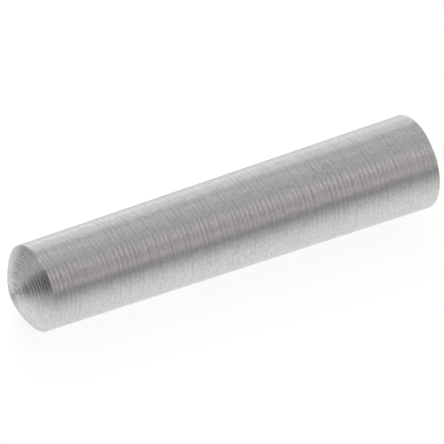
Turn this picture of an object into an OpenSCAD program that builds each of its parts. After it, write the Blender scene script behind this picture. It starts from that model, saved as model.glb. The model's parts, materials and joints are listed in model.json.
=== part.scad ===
// Tapered locating pin: one turned steel body with a 1:50 taper and a rounded end at each rim.
// The small end is a crown with a blunter cap at its middle, and the large end is a plain dome.
// The pin lies along +X. The origin is the centre of the small end's rim, and +Z is up.
// Sizes are in millimetres.

/* [Taper] */
// Diameter at the small end's rim, which is the pin's nominal size
small_dia = 6; // [4:0.5:16]
// Length of the taper, from rim to rim
taper_len = 30; // [16:1:60]
// Length over which the diameter grows by one millimetre
taper_ratio = 50; // [20:1:100]

/* [Small end] */
// Height of the crown, from the rim to the cap
crown_h = 1.18; // [0.6:0.02:1.6]
// Radius of the crown's curve
crown_r = 8; // [5:0.5:20]
// Diameter of the cap
cap_dia = 2.1; // [1:0.1:3]
// Height of the cap over the crown
cap_h = 0.13; // [0.06:0.01:0.2]

/* [Large end] */
// Height of the dome, from the rim
dome_h = 0.9; // [0.4:0.02:1.9]

/* [Edges] */
// Width of the bevel that breaks the edge of each rim
edge_w = 0.1; // [0.04:0.02:0.3]

/* [Hidden] */
$fn = 180;
large_dia = small_dia + taper_len / taper_ratio;
taper_angle = atan(1 / (2 * taper_ratio));
steel = [0.66, 0.66, 0.66];

// Every arc below goes from a rim at Y 0 to a narrower diameter further out, at -Y: the profiles
// hold the radius in X and the distance along the pin in Y.

// Centre of the arc of radius r from a rim of diameter dia to diameter top, h further out
function arc_centre(dia, top, h, r) =
    let (chord = [(top - dia) / 2, -h],
         inward = [chord.y, -chord.x] / norm(chord),
         depth = sqrt(r * r - chord * chord / 4))
    [dia / 2, 0] + chord / 2 + depth * inward;

// Radius of the sphere that rises h over a circle of diameter dia
function dome_r(dia, h) = h / 2 + dia * dia / (8 * h);

crown_centre = arc_centre(small_dia, cap_dia, crown_h, crown_r);
dome_centre = [0, dome_r(large_dia, dome_h) - dome_h];

// The taper's straight side, carried on past both rims
module taper_side() {
    start = -2 * small_dia;
    end = taper_len + 2 * large_dia;
    side = tan(taper_angle);
    polygon([
        [0, start],
        [small_dia / 2 + start * side, start],
        [small_dia / 2 + end * side, end],
        [0, end],
    ]);
}

// Everything on the body's side of an arc
module inside_arc(centre, r) {
    translate(centre) {
        circle(r);
        translate([-r, 0]) square([2 * r, 2 * taper_len]);
    }
}

// The sliver that a bevel takes off the rim at the foot of an arc; lean is the angle of the
// taper's normal
module rim_sliver(dia, centre, lean) {
    arc_lean = -atan2(centre.y, dia / 2 - centre.x);
    depth = edge_w / 2 * tan((lean - arc_lean) / 2);
    translate([dia / 2, 0])
        rotate((lean + arc_lean) / 2)
            translate([-depth, -edge_w])
                square(2 * edge_w);
}

// Takes what stands at the small end to the large end, turned round
module at_large_end() {
    translate([0, taper_len]) mirror([0, 1]) children();
}

module pin_profile() {
    cap_r = dome_r(cap_dia, cap_h);
    difference() {
        intersection() {
            taper_side();
            inside_arc(crown_centre, crown_r);
            inside_arc([0, cap_r - cap_h - crown_h], cap_r);
            at_large_end() inside_arc(dome_centre, dome_r(large_dia, dome_h));
        }
        rim_sliver(small_dia, crown_centre, -taper_angle);
        at_large_end() rim_sliver(large_dia, dome_centre, taper_angle);
    }
}

module taper_pin() {
    color(steel)
        rotate([0, 90, 0])
            rotate_extrude()
                pin_profile();
}

taper_pin();
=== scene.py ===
"""Dresses the taper pin: fine-turned steel with its feed marks, on a pale floor in soft light."""
import json
import math
from typing import NamedTuple

import bpy
import numpy as np
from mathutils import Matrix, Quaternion, Vector


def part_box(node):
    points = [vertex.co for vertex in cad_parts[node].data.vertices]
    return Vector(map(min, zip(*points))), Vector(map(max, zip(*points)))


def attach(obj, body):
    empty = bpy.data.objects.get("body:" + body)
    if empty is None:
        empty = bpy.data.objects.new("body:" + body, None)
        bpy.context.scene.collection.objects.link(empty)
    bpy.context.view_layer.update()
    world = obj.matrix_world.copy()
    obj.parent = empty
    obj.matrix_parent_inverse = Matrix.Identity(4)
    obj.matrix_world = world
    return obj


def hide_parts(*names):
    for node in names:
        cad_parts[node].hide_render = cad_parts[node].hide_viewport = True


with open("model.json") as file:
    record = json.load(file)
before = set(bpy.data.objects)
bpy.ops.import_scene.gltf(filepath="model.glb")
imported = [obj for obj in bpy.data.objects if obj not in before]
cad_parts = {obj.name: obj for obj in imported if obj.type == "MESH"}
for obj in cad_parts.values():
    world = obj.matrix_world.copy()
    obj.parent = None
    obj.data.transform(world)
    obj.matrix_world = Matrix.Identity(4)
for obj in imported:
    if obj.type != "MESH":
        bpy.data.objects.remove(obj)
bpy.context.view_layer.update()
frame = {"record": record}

MM = 0.001

# The taper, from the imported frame's seat, and the heights of the ends, from the pin's own box
seat = frame["record"]["mounts"][0]
lowest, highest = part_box("taper_pin")
SMALL_R = seat["dims"]["r_mm"] * MM
TAPER_LEN = seat["dims"]["length_mm"] * MM
TAPER_RATIO = 50
SLOPE = 1 / (2 * TAPER_RATIO)               # the taper's gain in radius along the pin
LARGE_R = SMALL_R + SLOPE * TAPER_LEN
SMALL_END_H = -lowest.x
LARGE_END_H = highest.x - TAPER_LEN

# The small end's crown and cap, and the round on each rim
CROWN_H = 1.18 * MM
CROWN_R = 8.0 * MM
CAP_RIM_R = 1.05 * MM
EDGE_R = 0.05 * MM
EDGE_STEPS = 6


class Marks(NamedTuple):
    """The turning marks of one zone of the pin."""
    feed: float     # the tool's advance each turn
    drift: float    # how far a mark wanders from its place, in feeds
    depth: float    # the mean depth of a mark
    varies: float   # the part of the depth that comes and goes
    patches: int    # how many times a turn it does
    shade: float    # painted shade: how much darker the colour is at the bottom of a mark


# The turning marks: a spiral groove from apex to apex, left plain at the rims
TAPER_MARKS = Marks(feed=0.346 * MM, drift=0.18, depth=0.004 * MM, varies=0.8, patches=6, shade=0.07)
END_MARKS = Marks(feed=0.21 * MM, drift=0.3, depth=0.01 * MM, varies=0.9, patches=20, shade=0.06)
CAP_MARKS = Marks(feed=0.33 * MM, drift=0.12, depth=0.02 * MM, varies=0.7, patches=4, shade=0.06)
MOST_PATCHES = max(TAPER_MARKS.patches, END_MARKS.patches, CAP_MARKS.patches)
RIM_FADE = 0.15 * MM                        # the marks fade over this distance from a rim
RIM_BEND = 0.05                             # the profile bends more than this, in radians, at a rim
STEPS_PER_MARK = 8
SEGMENTS = 96                               # facets round the pin
SEED = 7

# Steel
STEEL_COLOUR = (0.65, 0.65, 0.65)
STEEL_ROUGHNESS = 0.38
CAP_ROUGHNESS = 0.52                        # at the very middle of an end
STEEL_GRAIN = 0.88                          # how much more the surface blurs along the profile
GRAIN_MAP = "OFBake"                        # the UV map that the grain follows
SPECKLE_SHADE = 0.55                        # how much the fine mottling changes the colour
SPECKLE_SIZE = 0.2 * MM
SPECKLE_DETAIL = 2.0
SPECKLE_HEIGHT = 0.003 * MM

# Floor
FLOOR_COLOUR = (0.2, 0.2, 0.2, 1.0)
FLOOR_GLOW = 0.98
FLOOR_GLOW_COLOUR = (0.995, 1.0, 0.99, 1.0)
FLOOR_GLOSS_RISE = 2.0                      # how steeply the gloss rises towards a grazing view
FLOOR_ROUGHNESS = 0.4
FLOOR_SIZE = 3.0


class Softbox(NamedTuple):
    """A soft lamp, by its direction from the pin."""
    azimuth: float      # degrees from +Y towards +X
    elevation: float    # degrees above the horizon
    tightness: float    # how quickly the light falls off round its middle
    brightness: float   # at its middle
    colour: Vector


# Light: a dim room with soft lamps round the pin. The camera is in front, by the small end.
ROOM_LIGHT = (0.03, 0.03, 0.03)
PLAIN = Vector((1.0, 1.0, 1.0))
WARM = Vector((1.04, 0.99, 0.97))
ROSE = Vector((1.02, 0.99, 1.0))
SOFTBOXES = {
    "low behind": Softbox(15, 7, 45, 2.2, PLAIN),
    "behind": Softbox(25, 30, 25, 1.7, ROSE),
    "overhead": Softbox(-5, 66, 45, 2.8, ROSE),
    "over the small end": Softbox(-80, 70, 30, 3.3, ROSE),
    "low by the small end": Softbox(-50, -5, 10, 1.0, WARM),
    "beyond the large end": Softbox(85, 20, 30, 3.3, PLAIN),
    "in front of the large end": Softbox(110, 30, 35, 3.3, WARM),
    "in front": Softbox(145, 21, 45, 1.8, WARM),
    "by the camera": Softbox(-160, 0, 45, 2.9, PLAIN),
}

# Camera, as the photograph was taken
AZIMUTH = -145                              # degrees from +Y towards +X, as for a softbox
ELEVATION = 39
ROLL = 5.4
DISTANCE = 511 * MM
AIM = Vector((14.84, 0.14, 0.15)) * MM
LENS_MM = 620.5
SENSOR_MM = 36.0


def sphere_r(rim_r, height):
    """The radius of the sphere that rises by a height over a circle."""
    return height / 2 + rim_r ** 2 / (2 * height)


def arc(centre, radius, start, end, steps):
    """An arc as rows of (x past the rim, radius, normal's angle from the axis)."""
    return [(centre[0] + radius * math.cos(a), centre[1] + radius * math.sin(a), a)
            for a in np.linspace(start, end, steps + 1)]


def mark_steps(radius, start, end):
    """The steps that show the turning marks on an arc of an end."""
    return math.ceil(radius * (end - start) / END_MARKS.feed * STEPS_PER_MARK)


def from_rim(rim_r, slope, centre, radius, start):
    """The rows of an end's outer arc and of the round that joins it to the taper.

    slope is the taper's gain in radius towards this end, and start the arc's first angle.
    """
    # The round touches both: its centre is radius - EDGE_R from the arc's, and EDGE_R inside
    # the taper's line.
    steep = math.hypot(1, slope)
    reach = radius - EDGE_R
    inner_r = rim_r + slope * centre[0] - centre[1] - EDGE_R * steep
    along = (math.sqrt((steep * reach) ** 2 - inner_r ** 2) - slope * inner_r) / steep ** 2
    across = inner_r + slope * along
    join = math.atan2(across, along)
    side = math.pi / 2 + math.atan(slope)
    return (arc(centre, radius, start, join, mark_steps(radius, start, join))
            + arc((centre[0] + along, centre[1] + across), EDGE_R, join, side, EDGE_STEPS)[1:])


def small_end():
    """The small end's rows, apex first: the cap, the crown and the rim's round."""
    cap_h = SMALL_END_H - CROWN_H
    cap_r = sphere_r(CAP_RIM_R, cap_h)
    cap_edge = math.asin(CAP_RIM_R / cap_r)
    # The crown's arc runs from the cap's edge to the rim.
    chord = Vector((CROWN_H, CAP_RIM_R - SMALL_R))
    inward = Vector((chord.y, -chord.x)).normalized()
    depth = math.sqrt(CROWN_R ** 2 - chord.length_squared / 4)
    centre = Vector((0, SMALL_R)) + chord / 2 + depth * inward
    start = math.atan2(CAP_RIM_R - centre.y, CROWN_H - centre.x)
    cap = arc((SMALL_END_H - cap_r, 0), cap_r, 0, cap_edge, mark_steps(cap_r, 0, cap_edge))
    return np.array(cap + from_rim(SMALL_R, -SLOPE, centre, CROWN_R, start)[1:])


def large_end():
    """The large end's rows, apex first: the dome and the rim's round."""
    dome_r = sphere_r(LARGE_R, LARGE_END_H)
    return np.array(from_rim(LARGE_R, SLOPE, (LARGE_END_H - dome_r, 0), dome_r, 0))


def pin_profile():
    """The pin's profile from apex to apex: arrays of x, radius and the normal's angle from +X."""
    past_rim, r, angle = small_end().T
    small = np.array([-past_rim, r, math.pi - angle])
    past_rim, r, angle = large_end()[::-1].T
    large = np.array([TAPER_LEN + past_rim, r, angle])
    first, last = small[0, -1], large[0, 0]
    steps = round((last - first) / TAPER_MARKS.feed * STEPS_PER_MARK)
    x = np.linspace(first, last, steps + 1)[1:-1]
    side = math.pi / 2 + math.atan(SLOPE)
    taper = np.array([x, SMALL_R + SLOPE * x, np.full_like(x, side)])
    return np.hstack([small, taper, large])


def marks_at(x, r):
    """The marks of each row's zone, as Marks of arrays."""
    on_taper = (x > 0) & (x < TAPER_LEN)
    on_cap = (x < 0) & (r < CAP_RIM_R)
    off_taper = np.where(on_cap[:, None], CAP_MARKS, END_MARKS)
    return Marks(*np.where(on_taper[:, None], TAPER_MARKS, off_taper).T)


def marked_part(length, apex_gap, angle):
    """The part of its marks that each row keeps: none of them at a rim or an apex."""
    rims = length[np.abs(np.diff(angle, prepend=angle[0])) > RIM_BEND]
    rim_gap = np.min(np.abs(length[:, None] - rims), axis=1)
    return np.clip(rim_gap / RIM_FADE, 0, 1) * np.clip(apex_gap / RIM_FADE, 0, 1)


def wander(rng, count):
    """A smooth random curve between -1 and 1, as a function of 0 to count."""
    heights = rng.uniform(-1, 1, count + 2)

    def at(t):
        i = np.clip(np.floor(t).astype(int), 0, count)
        f = t - i
        return heights[i] + (heights[i + 1] - heights[i]) * f * f * (3 - 2 * f)
    return at


def spiral(marks, turns, bearing):
    """How deep the spiral groove is, in mean depths, at each row and each bearing.

    turns counts the turns from the first apex to each row, and bearing is in parts of a turn.
    """
    rng = np.random.default_rng(SEED)
    last = math.ceil(turns[-1])
    shift = wander(rng, last)
    strength = wander(rng, MOST_PATCHES * (last + 1))
    place = (turns + marks.drift * shift(turns))[:, None] - bearing
    nearest = np.round(place)
    cut = (1 + np.cos(2 * math.pi * (place - nearest))) / 2
    passed = np.clip(nearest + bearing, 0, last)
    return (1 + marks.varies[:, None] * strength(marks.patches[:, None] * passed)) * cut


def by_vertex(rows):
    """Values for each row and bearing in the vertices' order, with one vertex at each apex."""
    return np.concatenate([rows[0, :1], np.concatenate(rows[1:-1]), rows[-1, :1]])


def turned_surface():
    """The surface with its marks cut in.

    Returns each row's share of the profile's length and, by vertex, the points, the painted shade
    at the bottom of the marks and how near each vertex is to the middle of an end.
    """
    x, r, angle = pin_profile()
    length = np.concatenate([[0], np.cumsum(np.hypot(np.diff(x), np.diff(r)))])
    apex_gap = np.minimum(length, length[-1] - length)
    marks = marks_at(x, r)
    turns = np.concatenate([[0], np.cumsum(np.diff(length) / marks.feed[1:])])
    bearing = np.arange(SEGMENTS) / SEGMENTS
    groove = marked_part(length, apex_gap, angle)[:, None] * spiral(marks, turns, bearing)
    cut = marks.depth[:, None] * groove
    psi = 2 * math.pi * bearing - math.pi / 2   # the seam is underneath
    cut_x = x[:, None] - cut * np.cos(angle)[:, None]
    cut_r = r[:, None] - cut * np.sin(angle)[:, None]
    points = np.stack([cut_x, cut_r * np.cos(psi), cut_r * np.sin(psi)], axis=-1)
    centre = np.clip(1 - apex_gap / CAP_RIM_R, 0, 1)[:, None] * np.ones(SEGMENTS)
    return (length / length[-1], by_vertex(points), by_vertex(marks.shade[:, None] * groove),
            by_vertex(centre))


def pin_faces(last_row):
    """The faces, each corner as (row, segment): a fan at each apex and quads between the rows."""
    segments = range(SEGMENTS)
    faces = [((0, j + 0.5), (1, j + 1), (1, j)) for j in segments]
    for row in range(1, last_row - 1):
        faces += [((row, j), (row, j + 1), (row + 1, j + 1), (row + 1, j)) for j in segments]
    last_ring = last_row - 1
    return faces + [((last_row, j + 0.5), (last_ring, j), (last_ring, j + 1)) for j in segments]


def vertex(row, segment, last_row):
    """The number of the vertex at a corner, in the order of by_vertex."""
    if row == 0:
        return 0
    first = 1 + (row - 1) * SEGMENTS
    return first if row == last_row else first + segment % SEGMENTS


def mesh_of_pin():
    """The pin's mesh, with the map and the point attributes that its steel uses."""
    share, points, painted_groove_shade, centre = turned_surface()
    last_row = len(share) - 1
    corners = pin_faces(last_row)
    faces = [[vertex(row, segment, last_row) for row, segment in face] for face in corners]
    mesh = bpy.data.meshes.new("turned_pin")
    mesh.from_pydata(points.tolist(), [], faces)
    rows, segments = np.array([corner for face in corners for corner in face]).T
    grain = np.column_stack([share[rows.astype(int)], segments / SEGMENTS])
    mesh.uv_layers.new(name=GRAIN_MAP).data.foreach_set("uv", grain.ravel())
    for name, values in (("painted_groove_shade", painted_groove_shade), ("centre", centre)):
        mesh.attributes.new(name, "FLOAT", "POINT").data.foreach_set("value", values)
    mesh.shade_smooth()
    mesh.validate()
    return mesh


def node(tree, kind, inputs=None, **settings):
    """A new node with its settings, and its inputs set to values or linked to outputs."""
    made = tree.nodes.new(kind)
    for name, value in settings.items():
        setattr(made, name, value)
    for name, value in (inputs or {}).items():
        if isinstance(value, bpy.types.NodeSocket):
            tree.links.new(value, made.inputs[name])
        else:
            made.inputs[name].default_value = value
    return made


def maths(tree, operation, *inputs):
    """The result of a maths node."""
    return node(tree, "ShaderNodeMath", dict(enumerate(inputs)), operation=operation).outputs[0]


def new_material(name):
    """A material with an empty node tree."""
    material = bpy.data.materials.new(name)
    material.use_nodes = True
    material.node_tree.nodes.clear()
    return material


def steel_material():
    """Fine-turned steel: it blurs reflections along the pin and keeps them sharp round it."""
    material = new_material("turned_steel")
    tree = material.node_tree
    place = node(tree, "ShaderNodeTexCoord").outputs["Object"]
    # The marks' painted shade: a darker colour at the bottom of each turning mark, where shade falls
    groove = node(tree, "ShaderNodeAttribute", attribute_name="painted_groove_shade").outputs["Fac"]
    centre = node(tree, "ShaderNodeAttribute", attribute_name="centre").outputs["Fac"]
    speckle = node(tree, "ShaderNodeTexNoise", {
        "Vector": place, "Scale": 1 / SPECKLE_SIZE, "Detail": SPECKLE_DETAIL}).outputs["Fac"]
    mottled = maths(tree, "MULTIPLY_ADD", speckle, SPECKLE_SHADE, 1 - SPECKLE_SHADE / 2)
    # The steel's colour, darkened by the painted shade in the marks and mottled at random
    shade = maths(tree, "MULTIPLY", maths(tree, "SUBTRACT", 1.0, groove), mottled)
    colour = node(tree, "ShaderNodeVectorMath", {0: STEEL_COLOUR, "Scale": shade},
                  operation="SCALE").outputs[0]
    rough = node(tree, "ShaderNodeMapRange", {
        "Value": centre, "To Min": STEEL_ROUGHNESS, "To Max": CAP_ROUGHNESS},
        interpolation_type="SMOOTHSTEP").outputs["Result"]
    bump = node(tree, "ShaderNodeBump", {
        "Height": speckle, "Distance": SPECKLE_HEIGHT}).outputs[0]
    tangent = node(tree, "ShaderNodeTangent", direction_type="UV_MAP", uv_map=GRAIN_MAP).outputs[0]
    shader = node(tree, "ShaderNodeBsdfPrincipled", {
        "Base Color": colour, "Metallic": 1.0, "Roughness": rough,
        "Anisotropic": STEEL_GRAIN, "Normal": bump, "Tangent": tangent})
    node(tree, "ShaderNodeOutputMaterial", {"Surface": shader.outputs[0]})
    return material


def add_pin():
    """The turned pin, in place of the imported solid."""
    pin = bpy.data.objects.new("turned_pin", mesh_of_pin())
    bpy.context.collection.objects.link(pin)
    pin.data.materials.append(steel_material())
    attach(pin, "root")
    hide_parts("taper_pin")


def floor_material():
    """A pale satin floor with a glow that brings what the camera and the steel see to white."""
    material = new_material("floor_white")
    tree = material.node_tree
    ray = node(tree, "ShaderNodeLightPath").outputs
    seen = maths(tree, "MAXIMUM", ray["Is Camera Ray"], ray["Is Glossy Ray"])
    seen = maths(tree, "MAXIMUM", seen, ray["Is Transmission Ray"])
    glow = node(tree, "ShaderNodeEmission", {
        "Color": FLOOR_GLOW_COLOUR, "Strength": maths(tree, "MULTIPLY", seen, FLOOR_GLOW)})
    matt = node(tree, "ShaderNodeBsdfDiffuse", {"Color": FLOOR_COLOUR})
    under = node(tree, "ShaderNodeAddShader", {0: glow.outputs[0], 1: matt.outputs[0]})
    satin = node(tree, "ShaderNodeBsdfGlossy", {"Roughness": FLOOR_ROUGHNESS})
    facing = node(tree, "ShaderNodeLayerWeight").outputs["Facing"]
    both = node(tree, "ShaderNodeMixShader", {
        0: maths(tree, "POWER", facing, FLOOR_GLOSS_RISE), 1: under.outputs[0],
        2: satin.outputs[0]})
    node(tree, "ShaderNodeOutputMaterial", {"Surface": both.outputs[0]})
    return material


def add_floor():
    """The floor, tilted so that the pin lies on it along the taper's lowest line."""
    half = FLOOR_SIZE / 2
    mesh = bpy.data.meshes.new("floor")
    corners = [(x, y, -SMALL_R - SLOPE * x)
               for x, y in ((-half, -half), (half, -half), (half, half), (-half, half))]
    mesh.from_pydata(corners, [], [(0, 1, 2, 3)])
    mesh.materials.append(floor_material())
    floor = bpy.data.objects.new("floor", mesh)
    bpy.context.collection.objects.link(floor)


def direction(azimuth, elevation):
    """The direction from the pin at an azimuth and an elevation, both in degrees."""
    a = math.radians(azimuth)
    e = math.radians(elevation)
    return Vector((math.sin(a) * math.cos(e), math.cos(a) * math.cos(e), math.sin(e)))


def add_light():
    """The studio's light, as a world: the dim room and its softboxes."""
    world = bpy.data.worlds.new("studio")
    world.use_nodes = True
    tree = world.node_tree
    tree.nodes.clear()
    ray = node(tree, "ShaderNodeTexCoord").outputs["Generated"]
    total = ROOM_LIGHT
    for box in SOFTBOXES.values():
        # Each adds brightness * exp(tightness * (cosine - 1)), where the cosine is of the angle
        # between the ray and the softbox.
        middle = direction(box.azimuth, box.elevation)
        cosine = node(tree, "ShaderNodeVectorMath", {0: ray, 1: middle},
                      operation="DOT_PRODUCT").outputs["Value"]
        fall = maths(tree, "MULTIPLY_ADD", cosine, box.tightness, -box.tightness)
        total = node(tree, "ShaderNodeVectorMath", {
            0: maths(tree, "EXPONENT", fall), 1: box.brightness * box.colour, 2: total},
            operation="MULTIPLY_ADD").outputs["Vector"]
    back = node(tree, "ShaderNodeBackground", {"Color": total})
    node(tree, "ShaderNodeOutputWorld", {"Surface": back.outputs[0]})
    bpy.context.scene.world = world


def add_camera():
    """The camera, with the photograph's view of the pin."""
    data = bpy.data.cameras.new("camera")
    data.lens = LENS_MM
    data.sensor_width = SENSOR_MM
    camera = bpy.data.objects.new("camera", data)
    back = direction(AZIMUTH, ELEVATION)
    camera.location = AIM + DISTANCE * back
    level = back.to_track_quat("Z", "Y")
    camera.rotation_euler = (level @ Quaternion((0, 0, 1), math.radians(ROLL))).to_euler()
    bpy.context.collection.objects.link(camera)
    bpy.context.scene.camera = camera


add_pin()
add_floor()
add_light()
add_camera()
bpy.context.scene.view_settings.view_transform = "Standard"
